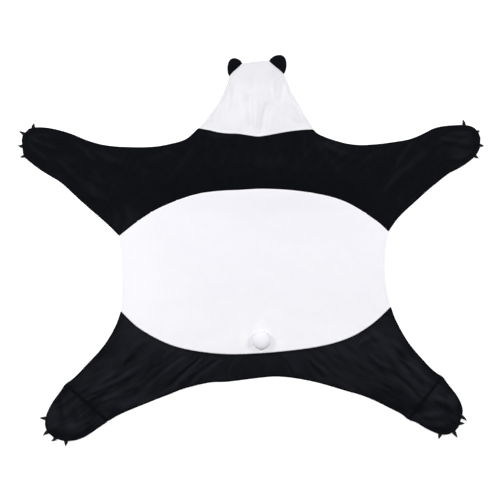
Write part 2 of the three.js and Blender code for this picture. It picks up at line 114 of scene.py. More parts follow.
CREASES = [Crease(*row) for row in (
    # left foreleg and paw
    (-874, 448, -764, 404, 6, 2.2, 10),
    (-882, 402, -806, 358, -5, 2.2, 9),
    (-862, 470, -790, 456, 3, 1.6, 8),
    (-770, 366, -560, 196, 12, 1.8, 18),
    (-700, 430, -610, 330, -8, 2.0, 13),
    (-620, 398, -470, 330, 6, 1.6, 16),
    # right foreleg and paw
    (748, 446, 884, 426, -5, 2.6, 11),
    (772, 368, 866, 384, 4, 2.2, 10),
    (770, 474, 862, 470, 3, 1.8, 9),
    (532, 236, 704, 396, -10, 1.8, 18),
    (640, 424, 560, 300, 8, 2.0, 14),
    # shoulders, drawn from the neck seam
    (-206, 440, -330, 256, 8, 0.7, 15),
    (-168, 470, -196, 330, -4, 0.5, 13),
    (-96, 462, -112, 350, 3, 0.4, 12),
    (250, 436, 384, 256, -8, 0.7, 15),
    (214, 466, 232, 322, 4, 0.6, 13),
    (-44, 452, -58, 330, 3, 0.4, 13),
    (98, 452, 122, 310, -3, 0.5, 13),
    (158, 460, 168, 350, 3, 0.6, 12),
    (30, 446, 34, 286, 2, 0.4, 13),
    (290, 430, 420, 372, 7, 2.0, 11),
    (-300, 420, -420, 360, -6, 1.0, 14),
    # hips and left hind leg
    (-217, -440, -331, -540, 4, -2.8, 7),
    (-190, -428, -320, -560, 6, 3.6, 9),
    (-151, -438, -257, -520, 4, -2.3, 6),
    (-122, -438, -250, -546, 5, 3.0, 8),
    (-262, -424, -424, -562, 9, 3.4, 9),
    (-644, -567, -444, -456, 7, 4.0, 9),
    (-604, -600, -452, -524, 5, 3.6, 8),
    (-660, -600, -560, -548, -4, 3.2, 7),
    (-617, -534, -516, -480, -5, 2.8, 8),
    (-520, -450, -420, -340, -8, 2.2, 13),
    (-560, -590, -440, -540, 5, 2.4, 8),
    (-60, -430, -96, -508, 3, 1.5, 10),
    (60, -424, 72, -500, -2, 1.0, 11),
    # right hind leg
    (150, -430, 206, -500, 4, 2.4, 10),
    (236, -428, 326, -500, 5, 3.2, 9),
    (476, -416, 556, -470, 5, 3.6, 8),
    (420, -380, 500, -330, -5, 2.4, 11),
    (590, -426, 716, -536, -8, 3.4, 10),
    (664, -590, 548, -496, 6, 3.2, 9),
    (560, -560, 470, -520, -4, 2.4, 9),
    (640, -520, 540, -400, 7, 2.2, 12),
    # hind paws
    (-752, -574, -714, -716, 5, 1.5, 12),
    (-636, -666, -742, -718, -4, 1.8, 11),
    (-694, -604, -664, -716, 4, 1.2, 11),
    (668, -656, 788, -640, 4, 3.0, 12),
    (698, -582, 804, -610, -4, 2.4, 11),
    (690, -700, 790, -690, 3, 1.4, 10),
    # hood: a trough that rises from the neck seam, and soft folds beside it
    (-4, 488, -18, 622, -3, -2.8, 4.6),
    (12, 486, 16, 600, 2, 2.2, 8),
    (-26, 500, -44, 620, -3, 1.2, 9),
    (70, 500, 98, 590, -4, 1.0, 10),
    (3, 640, 4, 692, 1, -1.6, 6),
    (-80, 596, -78, 652, 1, -2.2, 5),
    (-96, 560, -92, 676, 3, 1.8, 8),
    (109, 584, 119, 676, 3, -2.4, 6),
    (130, 590, 138, 668, 3, 1.0, 7),
    (88, 596, 84, 690, -3, 1.8, 8),
    (158, 530, 206, 506, 4, -1.3, 11),
    (166, 596, 214, 514, -6, 2.4, 9),
    (-140, 548, -134, 500, 3, 2.0, 9),
    (-160, 540, -190, 506, 3, -1.8, 8),
    # body, pulled in beside the tail
    (-26, -300, -52, -396, -5, 1.2, 12),
    (-4, -318, -16, -396, -3, -0.8, 9),
    (106, -296, 134, -392, 5, 1.2, 12),
    (86, -318, 98, -392, 3, -1.0, 9),
    (36, -262, 38, -330, 1, 1.0, 13),
)]

# Folds whose right side, seen from their first end, rises much more gently than their left
FOLDS = [Crease(*row) for row in (
    (34, 466, 61, 596, -3, -3.4, 5.0),
)]
GENTLE = 4.5

# Patches of painted highlight and painted shade on the pile, partly the nap's own mottle: middle,
# half sizes, and amount from -1 to 1
Brush = namedtuple("Brush", "x y half_x half_y amount")

PAINTED_PATCHES = [Brush(*row) for row in (
    # right forepaw and the shoulders
    (800, 440, 70, 34, 0.16),
    (848, 392, 50, 26, 0.16),
    (862, 470, 30, 16, 0.12),
    (312, 424, 60, 18, 0.24),
    (-124, 466, 60, 12, 0.20),
    (96, 330, 120, 50, 0.10),
    (-860, 440, 44, 18, 0.06),
    # hips and hind legs
    (-440, -460, 300, 130, 0.30),
    (-640, -520, 110, 80, 0.14),
    (-712, -640, 60, 80, 0.26),
    (-606, -660, 60, 40, 0.25),
    (-800, -660, 30, 50, 0.45),
    (-730, -706, 60, 24, 0.3),
    (-500, -600, 100, 30, 0.4),
    (-60, -470, 160, 60, 0.14),
    (120, -460, 90, 60, 0.10),
    (420, -450, 240, 130, 0.34),
    (560, -320, 80, 90, 0.25),
    (730, -664, 80, 30, 0.4),
    (690, -560, 80, 50, 0.45),
    (638, -480, 54, 44, 0.25),
    (806, -596, 24, 30, 0.5),
    (740, -610, 40, 30, 0.2),
    # body: painted light beside, below and above the tail where its shadow falls, painted light on
    # its left third, painted shade on its upper part and painted light on its lower part
    (-26, -352, 20, 30, 0.4),
    (110, -376, 30, 20, 0.4),
    (38, -396, 50, 12, 0.9),
    (38, -296, 20, 30, 0.3),
    (-470, -100, 90, 240, 0.35),
    (-380, -200, 160, 160, 0.3),
    (0, 230, 420, 80, -0.5),
    (200, 130, 300, 90, -0.3),
    (60, -330, 460, 110, 0.22),
    # hood: painted shade under the crown, where it rounds away, and in its right corner
    (20, 712, 110, 44, -0.35),
    (104, 690, 40, 40, -0.3),
    (-60, 570, 60, 70, 0.2),
    (-96, 640, 30, 60, -0.3),
)]

# Sheets of cloth: the CAD node, the sheets right under it, and its finish
Sheet = namedtuple("Sheet", "node under finish")

SHEETS = {row[0]: Sheet(*row) for row in (
    ("fore_pocket_left", (), "black"),
    ("fore_pocket_right", (), "black"),
    ("hind_pocket_left", (), "black"),
    ("hind_pocket_right", (), "black"),
    ("hood_front", (), "white"),
    ("shoulders", ("fore_pocket_left", "fore_pocket_right"), "black"),
    ("hips", (), "black"),
    ("body", (), "white"),
    ("hood_back", ("hood_front",), "hood"),
    ("hind_paw_left", ("hind_pocket_left",), "black"),
    ("hind_paw_right", ("hind_pocket_right",), "black"),
)}
# The sheets across the ankle seams of a sheet
ANKLES = {
    "hips": ("hind_paw_left", "hind_paw_right"),
    "hind_paw_left": ("hips",),
    "hind_paw_right": ("hips",),
}
# Sheets that show from above, and a slot name for each kind of plush
TOP_SHEETS = ("shoulders", "body", "hips", "hood_back", "hind_paw_left", "hind_paw_right")
SLOTS = {"black": "black_plush", "white": "white_plush", "hood": "white_plush"}


class ClothSettings(bpy.types.PropertyGroup):
    """Sizes and colours of the plush cloth."""
    wall: FloatProperty(
        name="Cloth thickness", description="Thickness of the plush, pile included",
        default=0.003, unit="LENGTH")
    cell: FloatProperty(
        name="Mesh spacing", description="Distance between the mesh lines of a sheet",
        default=0.0052, unit="LENGTH")
    roll: FloatProperty(
        name="Edge roll", description="Width in which the pile rounds over at an edge or a seam",
        default=0.0045, unit="LENGTH")
    hem: FloatProperty(
        name="Hem", description="Width of the hem that is turned under at a free edge",
        default=0.010, unit="LENGTH")
    hem_rise: FloatProperty(
        name="Hem rise", description="Height that the turned hem adds", default=0.0009,
        unit="LENGTH")
    ripple: FloatProperty(
        name="Ripple", description="Height of the cloth's soft unevenness", default=0.0011,
        unit="LENGTH")
    pucker: FloatProperty(
        name="Seam pucker", description="Height of the small gathers along a seam",
        default=0.0009, unit="LENGTH")
    ankle_puff: FloatProperty(
        name="Ankle puff", description="Height of the cloth beside the seam of a hind paw",
        default=0.0036, unit="LENGTH")
    paw_groove: FloatProperty(
        name="Paw seam depth", description="Depth of the rim seam of a hand pocket in the pile",
        default=0.0012, unit="LENGTH")
    overhang: FloatProperty(
        name="Pile overhang", description="How far the pile stands out over a free edge",
        default=0.0014, unit="LENGTH")
    lap: FloatProperty(
        name="Pile lap", description="How far black pile laps over the edge of a white sheet",
        default=0.0012, unit="LENGTH")
    # Streaks of painted highlight and shade on the black pile
    streaks: FloatProperty(
        name="Streaks", description="How much the black pile is brushed in streaks", default=0.32)
    white: FloatVectorProperty(
        name="White pile", description="Colour of the white plush", subtype="COLOR", size=3,
        default=(0.812, 0.803, 0.842), min=0, max=1)
    # Painted highlight: a lit copy of the white pile's colour
    white_painted_highlight: FloatVectorProperty(
        name="White pile, brushed", description="Colour of white pile brushed towards the light",
        subtype="COLOR", size=3, default=(0.855, 0.852, 0.872), min=0, max=1)
    # Painted shade between the tufts and on pressed pile; the mottle darkens towards it too
    white_roots_and_shade: FloatVectorProperty(
        name="White pile, roots", description="Colour between the tufts of the white plush",
        subtype="COLOR", size=3, default=(0.735, 0.727, 0.775), min=0, max=1)
    hood: FloatVectorProperty(
        name="Hood pile", description="Colour of the longer white pile of the hood and the tail",
        subtype="COLOR", size=3, default=(0.752, 0.749, 0.775), min=0, max=1)
    # Painted shade between the tufts of the hood and on its pressed pile; the mottle darkens
    # towards it too
    hood_roots_and_shade: FloatVectorProperty(
        name="Hood pile, roots", description="Colour between the tufts of the hood",
        subtype="COLOR", size=3, default=(0.640, 0.634, 0.668), min=0, max=1)
    black: FloatVectorProperty(
        name="Black pile", description="Colour of the black plush", subtype="COLOR", size=3,
        default=(0.0040, 0.0045, 0.0062), min=0, max=1)
    # Painted highlight: a lit copy of the black pile's colour
    black_painted_highlight: FloatVectorProperty(
        name="Black pile, brushed", description="Colour of black pile brushed towards the light",
        subtype="COLOR", size=3, default=(0.0150, 0.0156, 0.0200), min=0, max=1)
    # Painted shade between the tufts and on pressed pile; the mottle darkens towards it too
    black_roots_and_shade: FloatVectorProperty(
        name="Black pile, roots", description="Colour between the tufts of the black plush",
        subtype="COLOR", size=3, default=(0.0022, 0.0025, 0.0034), min=0, max=1)


class TrimSettings(bpy.types.PropertyGroup):
    """Sizes and colours of the ears, the tail, the claws and the sewing."""
    ear_swell: FloatProperty(
        name="Ear swell", description="Furthest that an ear's filling pushes its plush out",
        default=0.0055, unit="LENGTH")
    ear_pile: FloatProperty(
        name="Ear pile", description="How far the pile stands out round an ear", default=0.0031,
        unit="LENGTH")
    tail_swell: FloatProperty(
        name="Tail swell", description="Furthest that the tail's filling pushes its plush out",
        default=0.006, unit="LENGTH")
    tail_width: FloatProperty(
        name="Tail width", description="Width of the stuffed tail as a share of its solid's",
        default=0.92)
    tail_height: FloatProperty(
        name="Tail height", description="Height of the stuffed tail as a share of its solid's",
        default=0.62)
    tail_up: FloatProperty(
        name="Tail shift", description="How far the tail leans towards the hood", default=0.003,
        unit="LENGTH")
    claw_fill: FloatProperty(
        name="Claw filling", description="How far a claw's flank swells before it is rounded",
        default=0.0020, unit="LENGTH")
    claw_reach: FloatProperty(
        name="Claw reach", description="How far a claw's tip is pulled out", default=0.0045,
        unit="LENGTH")
    claw: FloatVectorProperty(
        name="Claw", description="Colour of the claws", subtype="COLOR", size=3,
        default=(0.0050, 0.0050, 0.0060), min=0, max=1)
    thread_black: FloatVectorProperty(
        name="Black thread", description="Colour of the thread on black plush", subtype="COLOR",
        size=3, default=(0.010, 0.010, 0.012), min=0, max=1)
    thread_white: FloatVectorProperty(
        name="White thread", description="Colour of the thread on white plush", subtype="COLOR",
        size=3, default=(0.72, 0.71, 0.76), min=0, max=1)
    stitch: FloatProperty(
        name="Stitch length", description="Length of one stitch of a hem", default=0.0036,
        unit="LENGTH")
    stitch_gap: FloatProperty(
        name="Stitch gap", description="Gap between two stitches", default=0.0012, unit="LENGTH")
    thread: FloatProperty(
        name="Thread", description="Diameter of the sewing thread", default=0.0007, unit="LENGTH")


class StageSettings(bpy.types.PropertyGroup):
    """Camera, floor and lights."""
    seen: FloatProperty(
        name="Floor seen", description="Width of floor across the picture", default=2.0,
        unit="LENGTH")
    centre_x: FloatProperty(
        name="Centre X", description="Floor point under the camera", default=-0.005, unit="LENGTH")
    centre_y: FloatProperty(
        name="Centre Y", description="Floor point under the camera", default=0.002, unit="LENGTH")
    lens: FloatProperty(
        name="Lens", description="Focal length of the camera in millimetres", default=80)
    floor: FloatVectorProperty(
        name="Floor", description="Colour of the floor", subtype="COLOR", size=3,
        default=(0.97, 0.97, 0.97), min=0, max=1)
    world: FloatProperty(
        name="Surrounding light", description="Strength of the pale surroundings", default=0.25)
    overhead: FloatProperty(
        name="Overhead light", description="Power of the large light above, in watts", default=160)
    side: FloatProperty(
        name="Side lights", description="Power of each of the two lights beside it, in watts",
        default=86)
    floor_glow: FloatProperty(
        name="Floor glow", description="Light that the floor gives off by itself", default=0.25)


# Plan of a sheet, read from its CAD wall

def merged_copy(node):
    """A copy of a CAD node's mesh with its corners joined."""
    bm = bmesh.new()
    bm.from_mesh(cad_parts[node].data)
    bmesh.ops.remove_doubles(bm, verts=bm.verts, dist=MERGE)
    return bm


def upper_side(node):
    """The upper side of a CAD wall."""
    bm = merged_copy(node)
    others = [face for face in bm.faces if face.normal.z < UPWARD]
    bmesh.ops.delete(bm, geom=others, context="FACES")
    return bm


def outline_sides(bm):
    """The four sides of a wall's outline, counter-clockwise from its upper left corner."""
    following = {}
    for edge in bm.edges:
        if edge.is_boundary:
            loop = edge.link_loops[0]
            following[loop.vert] = loop.link_loop_next.vert
    corners = {vert for vert in bm.verts if len(vert.link_edges) <= CORNER_EDGES}
    if len(corners) != 4:
        raise RuntimeError(f"a wall's outline has {len(corners)} corners, not 4")
    vert = max(corners, key=lambda corner: corner.co.y - corner.co.x)
    sides = []
    for _ in range(4):
        side = [vert.co.xy[:]]
        vert = following[vert]
        while vert not in corners:
            side.append(vert.co.xy[:])
            vert = following[vert]
        side.append(vert.co.xy[:])
        sides.append(np.array(side))
    return sides


def side_length(side):
    """Length of a side of an outline."""
    return float(np.linalg.norm(np.diff(side, axis=0), axis=1).sum())


def places(side, opposite, cell):
    """Places along two opposite sides, counted in their steps and closer together at the ends."""
    steps = len(side) - 1
    step = max(side_length(side), side_length(opposite)) / steps
    parts = max(2, round(step / cell))
    rim_parts = parts + RIM_EXTRA
    rim = (np.arange(rim_parts + 1) / rim_parts) ** RIM_EASE
    inner = np.arange(parts, (steps - 1) * parts + 1) / parts
    return np.concatenate([rim[:-1], inner, (steps - rim[::-1])[1:]])


def sharp_places(side):
    """True at the ends of a side and wherever it turns sharply."""
    run = np.diff(side, axis=0)
    heading = np.arctan2(run[:, 1], run[:, 0])
    turn = (np.diff(heading) + math.pi) % (2 * math.pi) - math.pi
    sharp = np.ones(len(side), dtype=bool)
    sharp[1:-1] = np.abs(turn) > SHARP_TURN
    return sharp


def smooth_line(values, where, sharp=None):
    """Values at some places on a smooth line through the given ones, one for each step."""
    last = len(values) - 1
    if sharp is None:
        sharp = np.zeros(last + 1, dtype=bool)
        sharp[[0, last]] = True
    index = np.minimum(where.astype(int), last - 1)
    share = (where - index)[:, None]
    start, end = values[index], values[index + 1]
    before = np.where(sharp[index][:, None], 2 * start - end, values[np.maximum(index - 1, 0)])
    beyond = values[np.minimum(index + 2, last)]
    after = np.where(sharp[index + 1][:, None], 2 * end - start, beyond)
    return 0.5 * (2 * start + (end - before) * share
                  + (2 * before - 5 * start + 4 * end - after) * share ** 2
                  + (3 * start - before - 3 * end + after) * share ** 3)


def spread(sides, u, v):
    """Plan points of a grid that fills an outline, at places u along it and v across it."""
    lines = []
    for side, where in ((sides[0][::-1], v), (sides[1], u), (sides[2], v), (sides[3][::-1], u)):
        lines.append(smooth_line(side, where, sharp_places(side)))
    left, bottom, right, top = lines
    s = (u / u[-1])[:, None, None]
    t = (v / v[-1])[None, :, None]
    corners = ((1 - s) * (1 - t) * bottom[0] + s * (1 - t) * bottom[-1]
               + (1 - s) * t * top[0] + s * t * top[-1])
    return ((1 - t) * bottom[:, None] + t * top[:, None]
            + (1 - s) * left[None] + s * right[None] - corners)


def nearest_heights(tree, plan):
    """Heights of a surface under each plan point."""
    found = [tree.find_nearest(Vector((x, y, ABOVE)))[0] for x, y in plan.reshape(-1, 2)]
    return np.array([point.z for point in found]).reshape(plan.shape[:2])


def rim_points(plan):
    """Plan points round a grid, counter-clockwise."""
    return np.concatenate([plan[0, ::-1], plan[1:, 0], plan[-1, 1:], plan[-2:0:-1, -1]])


def point_tree(points):
    """Search tree of plan points."""
    tree = kdtree.KDTree(len(points))
    for i, (x, y) in enumerate(points):
        tree.insert((x, y, 0), i)
    tree.balance()
    return tree


def distances(plan, points):
    """Distance from each plan point to the nearest of some points, or FAR if there are none."""
    if len(points) == 0:
        return np.full(plan.shape[:2], FAR)
    tree = point_tree(points)
    flat = [tree.find((x, y, 0))[2] for x, y in plan.reshape(-1, 2)]
    return np.array(flat).reshape(plan.shape[:2])


def eased(value):
    """A smooth step from 0 to 1."""
    value = np.clip(value, 0, 1)
    return value * value * (3 - 2 * value)


def bump(away, width):
    """Bell curve of a distance."""
    return np.exp(-(away / width) ** 2)


def creased(plan):
    """Height of all the creases at each plan point, and the painted highlight and shade that go
    with them.
    """
    x, y = plan[..., 0] / MM, plan[..., 1] / MM
    height = np.zeros(x.shape)
    pile = np.zeros(x.shape)
    for crease in CREASES + FOLDS:
        fold = crease in FOLDS
        run_x, run_y = crease.to_x - crease.from_x, crease.to_y - crease.from_y
        length = math.hypot(run_x, run_y)
        along = ((x - crease.from_x) * run_x + (y - crease.from_y) * run_y) / length ** 2
        aside = ((x - crease.from_x) * run_y - (y - crease.from_y) * run_x) / length
        middle = np.clip(along, 0, 1)
        aside = aside - 4 * crease.bow * middle * (1 - middle)
        # A crease grows wider towards its second end, where it also fades out more slowly.
        width = crease.width * (0.7 + 0.7 * middle)
        fade = crease.width / length
        ends = eased((along + fade) / (3 * fade)) * eased((1 + fade - along) / (5 * fade))
        right = width * (GENTLE if fold else 1)
        height += crease.height * ends * bump(aside, np.where(aside > 0, right, width))
        shade = bump(aside, 0.7 * width)
        # Painted highlight on a crease's top and painted shade in the valley at its right.
        if not fold:
            shade -= 0.8 * bump(aside - 1.7 * width, 0.7 * width)
        pile += CREASE_SHADE * crease.height * ends * shade
    return height * MM, pile


def painted_light_and_shade(plan):
    """Painted highlight, above 0, and painted shade, below 0, from the listed patches at each plan
    point.
    """
    x, y = plan[..., 0] / MM, plan[..., 1] / MM
    total = np.zeros(x.shape)
    for shading in PAINTED_PATCHES:
        away = np.hypot((x - shading.x) / shading.half_x, (y - shading.y) / shading.half_y)
        total += shading.amount * eased(1.5 - away)
    return total


def field(plan, size, seed):
    """Smooth unevenness from -1 to 1 whose waves are about that long."""
    flat = [noise.noise(Vector((x / size, y / size, seed))) for x, y in plan.reshape(-1, 2)]
    return np.array(flat).reshape(plan.shape[:2])


def streaks(plan):
    """Pile that lies in streaks along each leg, from -1 to 1, drawn as painted highlight and shade:
    partly the nap's own streaks, partly painted sheen.
    """
    values = []
    far_out = eased(np.abs(plan[..., 0]) / STREAK_START)
    on_leg = STREAK_LEAST + (1 - STREAK_LEAST) * far_out
    for x, y in plan.reshape(-1, 2):
        angle = STREAK_ANGLE * math.tanh(x * y / STREAK_TURN)
        along = (x * math.cos(angle) + y * math.sin(angle)) / STREAK_LENGTH
        across = (y * math.cos(angle) - x * math.sin(angle)) / STREAK_WIDTH
        wide = noise.noise((along, across, 12.3))
        values.append(wide + 0.5 * noise.noise((2 * along, 2 * across, 2.9)))
    return on_leg * np.array(values).reshape(plan.shape[:2])


class SheetPlan:
    """A sheet as its CAD wall has it: outline, surface, and a finer grid of plan points."""

    def __init__(self, node, cell):
        bm = upper_side(node)
        self.sides = outline_sides(bm)
        self.tree = BVHTree.FromBMesh(bm)
        bm.free()
        self.u = places(self.sides[1], self.sides[3], cell)
        self.v = places(self.sides[0], self.sides[2], cell)
        self.plan = spread(self.sides, self.u, self.v)
        self.rim = rim_points(self.plan)

    def solid_heights(self):
        """Height of the CAD wall's upper side, rounded between its own corners."""
        u = np.arange(len(self.sides[1]))
        v = np.arange(len(self.sides[0]))
        coarse = nearest_heights(self.tree, spread(self.sides, u, v))
        return smooth_line(smooth_line(coarse, self.u).T, self.v).T


def cut_area(plan):
    """Area of a grid of plan points."""
    a, b = plan[1:, 1:] - plan[:-1, :-1], plan[1:, :-1] - plan[:-1, 1:]
    return float(np.abs(a[..., 0] * b[..., 1] - a[..., 1] * b[..., 0]).sum() / 2)


PLANS = {}


def sheet_plan(node):
    """The plan of a sheet, read once."""
    if node not in PLANS:
        PLANS[node] = SheetPlan(node, bpy.context.scene.blanket_cloth.cell)
    return PLANS[node]


def rim_tree(nodes):
    """Search tree of the rims of some sheets, and the sheet that each point belongs to."""
    owners = [node for node in nodes for _ in sheet_plan(node).rim]
    return point_tree(np.concatenate([sheet_plan(node).rim for node in nodes])), owners


def other_rims(node):
    """Search tree of the rims of the other top sheets, and the sheet of each of its points."""
    return rim_tree([other for other in TOP_SHEETS if other != node])


def free_rim(node):
    """True for each point of a sheet's rim that isn't sewn to another top sheet."""
    tree, _ = other_rims(node)
    return np.array([tree.find((x, y, 0))[2] > SEAM_REACH for x, y in sheet_plan(node).rim])


def rim_reaches(node, cloth):
    """How far the pile stands out at each rim point: over a free edge, or lapped over a seam."""
    tree, owners = other_rims(node)
    black = SHEETS[node].finish == "black"
    reaches = []
    for x, y in sheet_plan(node).rim:
        _, nearest, away = tree.find((x, y, 0))
        if away > SEAM_REACH:
            reaches.append(cloth.overhang)
        elif black == (SHEETS[owners[nearest]].finish == "black"):
            reaches.append(0)
        else:
            reaches.append(cloth.lap if black else -cloth.lap)
    return reaches


def outspread(node, cloth):
    """Plan of a sheet with the reach of its pile at the rim."""
    part = sheet_plan(node)
    wide = part.plan.copy()
    if node not in TOP_SHEETS:
        return wide
    reaches = rim_reaches(node, cloth)
    run = np.roll(part.rim, -1, axis=0) - np.roll(part.rim, 1, axis=0)
    out = np.stack([run[:, 1], -run[:, 0]], axis=1)
    out /= np.maximum(np.linalg.norm(out, axis=1, keepdims=True), 1e-9)
    tree, _ = rim_tree([node])
    for index in np.ndindex(wide.shape[:2]):
        _, nearest, away = tree.find((*wide[index], 0))
        wide[index] += reaches[nearest] * bump(away, REACH_FADE) * out[nearest]
    return wide


def seam_distances(node, others):
    """Distance of each plan point to the seams between a sheet and some others."""
    part = sheet_plan(node)
    seam = []
    if others:
        tree, _ = rim_tree(others)
        seam = [point for point in part.rim if tree.find((*point, 0))[2] < SEAM_REACH]
    return distances(part.plan, seam)


# Height of a sheet

def support_heights(sheet, plan, wall):
    """Height of what lies right under each plan point: the floor, or a sheet under this one."""
    support = np.zeros(plan.shape[:2])
    for node in sheet.under:
        tree = sheet_plan(node).tree
        for index in np.ndindex(support.shape):
            x, y = plan[index]
            found = tree.find_nearest(Vector((x, y, wall)))[0]
            if (found.xy - Vector((x, y))).length < 2 * SEAM_REACH:
                support[index] = wall + LAYER_GAP
    return support


Away = namedtuple("Away", "free seam ankle")


def rim_distances(sheet):
    """Distance of each plan point to a sheet's free edges, its seams and its ankle seams."""
    part = sheet_plan(sheet.node)
    free = free_rim(sheet.node)
    return Away(distances(part.plan, part.rim[free]), distances(part.plan, part.rim[~free]),
                seam_distances(sheet.node, ANKLES.get(sheet.node, ())))


def paw_seams(sheet, plan, away):
    """Where the rim seam of a hand pocket pulls the plush in, from 0 to 1."""
    if sheet.node != "shoulders":
        return np.zeros(plan.shape[:2])
    on_paw = eased((np.abs(plan[..., 0]) - PAW_START) / PAW_FADE)
    return on_paw * bump(away.free - PAW_SEAM, PAW_SEAM_WIDTH)


def lying_height(cloth, plan, away):
    """Height that ripples, gathers, the puff beside an ankle seam and the hem add."""
    calm = eased(np.minimum(away.free, away.seam) / CALM)
    # Waves of two lengths, each from its own seed.
    ripple = field(plan, 0.085, 3.1) + 0.5 * field(plan, 0.034, 8.4)
    height = cloth.ripple * (0.6 + ripple) * (0.25 + 0.75 * calm)
    height += cloth.pucker * field(plan, 0.017, 5.7) * bump(away.seam - GATHERS, GATHERS)
    height += cloth.ankle_puff * bump(away.ankle - PUFF_MIDDLE, PUFF_WIDTH)
    # The hem stands up between the edge and its row of stitches, which pulls the cloth down.
    height += cloth.hem_rise * bump(away.free - 0.45 * cloth.hem, 0.4 * cloth.hem)
    height -= 0.9 * cloth.hem_rise * bump(away.free - cloth.hem, 0.16 * cloth.hem)
    return height


def painted_pile_shading(sheet, cloth, plan, away):
    """Painted light and shade on the pile, from the listed patches, seams and edges: painted shade
    below 0, painted highlight above.
    """
    pile = painted_light_and_shade(plan)
    # Painted shade in the groove of an ankle seam, uneven along it
    pile -= (0.5 + 0.8 * field(plan, 0.04, 6.1)) * bump(away.ankle, 4 * MM)
    # Painted shade along the rim seam of a hand pocket
    pile -= 0.5 * paw_seams(sheet, plan, away)
    if sheet.finish == "black":
        pile -= SEAM_SHADE * bump(np.minimum(away.seam, away.free), 6 * MM)
        share = SHOULDER_STREAKS if sheet.node == "shoulders" else 1
        return pile + share * cloth.streaks * streaks(plan)
    pile += SEAM_LIGHT * bump(away.seam, 7 * MM)
    if sheet.finish == "hood":
        pile -= EDGE_SHADE * bump(away.free, 5 * MM)
    return pile


def sheet_heights(sheet, cloth):
    """Lower and upper heights of a sheet of plush on its grid, and the painted light and shade of
    its pile.
    """
    part = sheet_plan(sheet.node)
    plan = part.plan
    top = part.solid_heights()
    near_rim = np.clip(1 - distances(plan, part.rim) / cloth.roll, 0, 1)
    rolled = np.sqrt(1 - near_rim ** 2)
    if sheet.node not in TOP_SHEETS:
        low = top - cloth.wall
        return low + RIM_WALL * cloth.wall * (1 - rolled), top, np.zeros(top.shape)

    away = rim_distances(sheet)
    crease_height, crease_shading = creased(plan)
    if sheet.finish == "black":
        crease_shading *= BLACK_SHADE
    top += crease_height + lying_height(cloth, plan, away)
    top -= cloth.paw_groove * paw_seams(sheet, plan, away)
    low = np.maximum(top - cloth.wall, support_heights(sheet, plan, cloth.wall))
    top = np.maximum(top, low + LEAST_WALL * cloth.wall)
    top = low + (top - low) * (RIM_WALL + (1 - RIM_WALL) * rolled)
    return low, top, crease_shading + painted_pile_shading(sheet, cloth, plan, away)


# Meshes and objects

def new_object(name, bm, material, smooth=True):
    """A finished object at the origin from a bmesh, which is freed."""
    mesh = bpy.data.meshes.new(name)
    bm.to_mesh(mesh)
    bm.free()
    if smooth:
        mesh.shade_smooth()
    mesh.materials.append(material)
    piece = bpy.data.objects.new(name, mesh)
    bpy.context.collection.objects.link(piece)
    return piece


def belong(piece, slot, *nodes):
    """A piece rides on the blanket and stands for CAD nodes; its slot is not used."""
    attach(piece, BODY)
    if nodes:
        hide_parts(*nodes)


def apply_modifiers(piece):
    """Make a piece's modifiers part of its mesh."""
    graph = bpy.context.evaluated_depsgraph_get()
    mesh = bpy.data.meshes.new_from_object(piece.evaluated_get(graph))
    old = piece.data
    piece.modifiers.clear()
    piece.data = mesh
    bpy.data.meshes.remove(old)


def make_sheet(sheet, cloth, material):
    """A wall of plush on a sheet's plan, its upper and lower sides a grid each."""
    plan = sheet_plan(sheet.node).plan
    low, top, pile = sheet_heights(sheet, cloth)
    wide = outspread(sheet.node, cloth)
    columns, rows = plan.shape[0] - 1, plan.shape[1] - 1
    bm = bmesh.new()
    bmesh.ops.create_grid(bm, x_segments=columns, y_segments=rows, size=0.5)
    # Painted light and shade of the pile, on the corners of the upper side
    shading = bm.verts.layers.float.new("painted_light_and_shade")

    def place(vert):
        return round((vert.co.x + 0.5) * columns), round((vert.co.y + 0.5) * rows)

    lower = {vert: place(vert) for vert in bm.verts}
    raised = bmesh.ops.extrude_face_region(bm, geom=bm.faces[:], use_keep_orig=True)
    for vert in raised["geom"]:
        if isinstance(vert, bmesh.types.BMVert):
            index = place(vert)
            vert.co = (*wide[index], top[index])
            vert[shading] = pile[index]
    for vert, index in lower.items():
        vert.co = (*wide[index], low[index])
    bmesh.ops.recalc_face_normals(bm, faces=bm.faces)
    piece = new_object(f"{sheet.node}_plush", bm, material)
    belong(piece, SLOTS[sheet.finish], sheet.node)
    list(sheet.under) or ["floor"]
    cut_area(plan)


def make_sheets(*nodes):
    """The sheets of plush that stand for these CAD nodes."""
    cloth = bpy.context.scene.blanket_cloth
    for node in nodes:
        sheet = SHEETS[node]
        make_sheet(sheet, cloth, cloth_material(sheet.finish))


# Materials

def feed(tree, node, inputs):
    """Set a node's inputs, by name or number, or link them to other nodes' outputs."""
    for name, value in inputs.items():
        if isinstance(value, bpy.types.NodeSocket):
            tree.links.new(value, node.inputs[name])
        else:
            node.inputs[name].default_value = value


def add_node(tree, kind, inputs, **settings):
    """A new node with its settings and its inputs."""
    node = tree.nodes.new(kind)
    for name, value in settings.items():
        setattr(node, name, value)
    feed(tree, node, inputs)
    return node


def noise_mask(tree, vector, scale, detail, roughness=0.5):
    """A noise pattern from 0 to 1."""
    return add_node(tree, "ShaderNodeTexNoise", {
        "Vector": vector, "Scale": scale, "Detail": detail, "Roughness": roughness}).outputs["Fac"]


def mixed(tree, factor, first, second):
    """A colour between two others."""
    return add_node(tree, "ShaderNodeMix", {"Factor": factor, "A": first, "B": second},
                    data_type="RGBA", clamp_factor=True).outputs["Result"]


def relief(tree, height, distance, strength):
    """The normal of a surface with small unevenness."""
    return add_node(tree, "ShaderNodeBump", {
        "Height": height, "Distance": distance, "Strength": strength}).outputs["Normal"]


